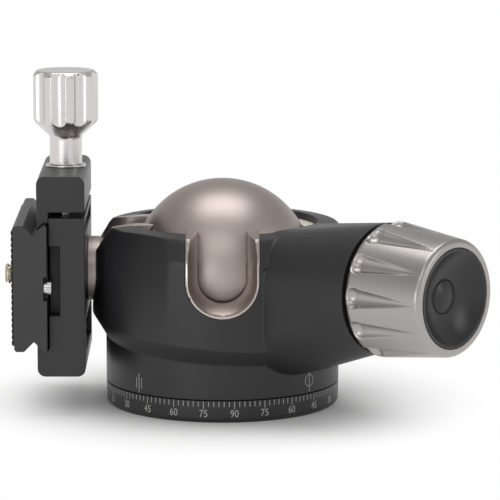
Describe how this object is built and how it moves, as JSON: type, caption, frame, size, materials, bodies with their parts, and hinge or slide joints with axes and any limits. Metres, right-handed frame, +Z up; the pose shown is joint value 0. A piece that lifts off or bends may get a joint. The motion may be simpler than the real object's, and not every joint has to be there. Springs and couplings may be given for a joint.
{
  "type": "tripod ball head",
  "caption": "Low ball head with pan base, two drop notches, side lock knob and a screw clamp holding a camera plate.",
  "frame": {"origin": "mouth of the tripod thread, in the middle of the flat underside", "axes": "+Z up along the pan axis; -Y is the front drop notch; the stem lies along -X in the left notch"},
  "size_m": [0.1443, 0.1265, 0.1023],
  "materials": {
    "black_anodised": "fine matt black anodised aluminium",
    "bead_blasted_titanium_grey": "satin warm grey anodised aluminium",
    "bare_turned_aluminium": "satin machined aluminium",
    "stainless_steel": "turned stainless steel",
    "spring_steel": "blued spring steel",
    "brass": "turned brass",
    "seat_polymer": "smooth cream bearing plastic",
    "ribbed_rubber": "matt ribbed rubber"
  },
  "bodies": {
    "base": {"base_plate": "black_anodised", "scale_ring": "black_anodised", "thread_insert": "stainless_steel", "keeper_ring": "stainless_steel", "keeper_screws": "stainless_steel", "pan_bearing": "seat_polymer"},
    "housing": {"housing": "black_anodised", "front_notch_liner": "bead_blasted_titanium_grey", "left_notch_liner": "bead_blasted_titanium_grey", "collar_front_arc": "seat_polymer", "collar_back_arc": "seat_polymer", "lower_ball_seat": "seat_polymer", "disc_spring": "spring_steel", "spindle_bushing": "brass", "pan_lock_pad": "brass"},
    "main_knob": {"main_knob": "bare_turned_aluminium", "main_knob_cap": "black_anodised", "main_spindle": "stainless_steel"},
    "brake": {"brake_shoe": "brass"},
    "pan_lock": {"pan_knob": "bare_turned_aluminium", "pan_screw": "stainless_steel"},
    "ball": {"ball": "bead_blasted_titanium_grey", "stem_bolt": "stainless_steel"},
    "clamp": {"clamp_body": "black_anodised", "guide_pins": "stainless_steel"},
    "jaw": {"moving_jaw": "black_anodised", "clamp_knob_washer": "stainless_steel"},
    "clamp_knob": {"clamp_knob": "bare_turned_aluminium", "jaw_screw": "stainless_steel"},
    "plate": {"camera_plate": "black_anodised", "camera_pad": "ribbed_rubber", "stop_screws": "stainless_steel"},
    "camera_screw": {"camera_screw": "stainless_steel"}
  },
  "joints": [
    {"name": "pan", "type": "hinge", "parent": "base", "child": "housing", "pos_m": [0, 0, 0], "axis": [0, 0, 1], "continuous": true},
    {"name": "main_knob_turn", "type": "hinge", "parent": "housing", "child": "main_knob", "pos_m": [0, 0, 0.0423], "axis": [0.7349, -0.6782, 0], "range_deg": [0, 345]},
    {"name": "brake_travel", "type": "slide", "parent": "housing", "child": "brake", "axis": [0.7349, -0.6782, 0], "range_m": [0, 0.0012]},
    {"name": "pan_lock_turn", "type": "hinge", "parent": "housing", "child": "pan_lock", "pos_m": [0, 0, 0.0109], "axis": [0, 1, 0], "range_deg": [0, 270]},
    {"name": "ball_tilt", "type": "hinge", "parent": "housing", "child": "ball", "pos_m": [0, 0, 0.041], "axis": [0, 1, 0], "range_deg": [0, 115]},
    {"name": "stem_spin", "type": "hinge", "parent": "ball", "child": "clamp", "pos_m": [0, 0, 0.041], "axis": [1, 0, 0], "continuous": true},
    {"name": "jaw_travel", "type": "slide", "parent": "clamp", "child": "jaw", "axis": [0, 0, 1], "range_m": [0, 0.0049]},
    {"name": "clamp_knob_turn", "type": "hinge", "parent": "jaw", "child": "clamp_knob", "pos_m": [-0.0476, 0, 0.0725], "axis": [0, 0, 1], "range_deg": [0, 1440]},
    {"name": "plate_slide", "type": "slide", "parent": "clamp", "child": "plate", "axis": [0, 1, 0], "range_m": [-0.0045, 0.0045]},
    {"name": "camera_screw_turn", "type": "hinge", "parent": "plate", "child": "camera_screw", "pos_m": [-0.06, 0, 0.0393], "axis": [-1, 0, 0], "continuous": true}
  ],
  "couplings": [
    {"joint": "brake_travel", "follows": "main_knob_turn", "m_per_rad": 0.00019763},
    {"joint": "clamp_knob_turn", "follows": "jaw_travel", "rad_per_m": 5129}
  ]
}
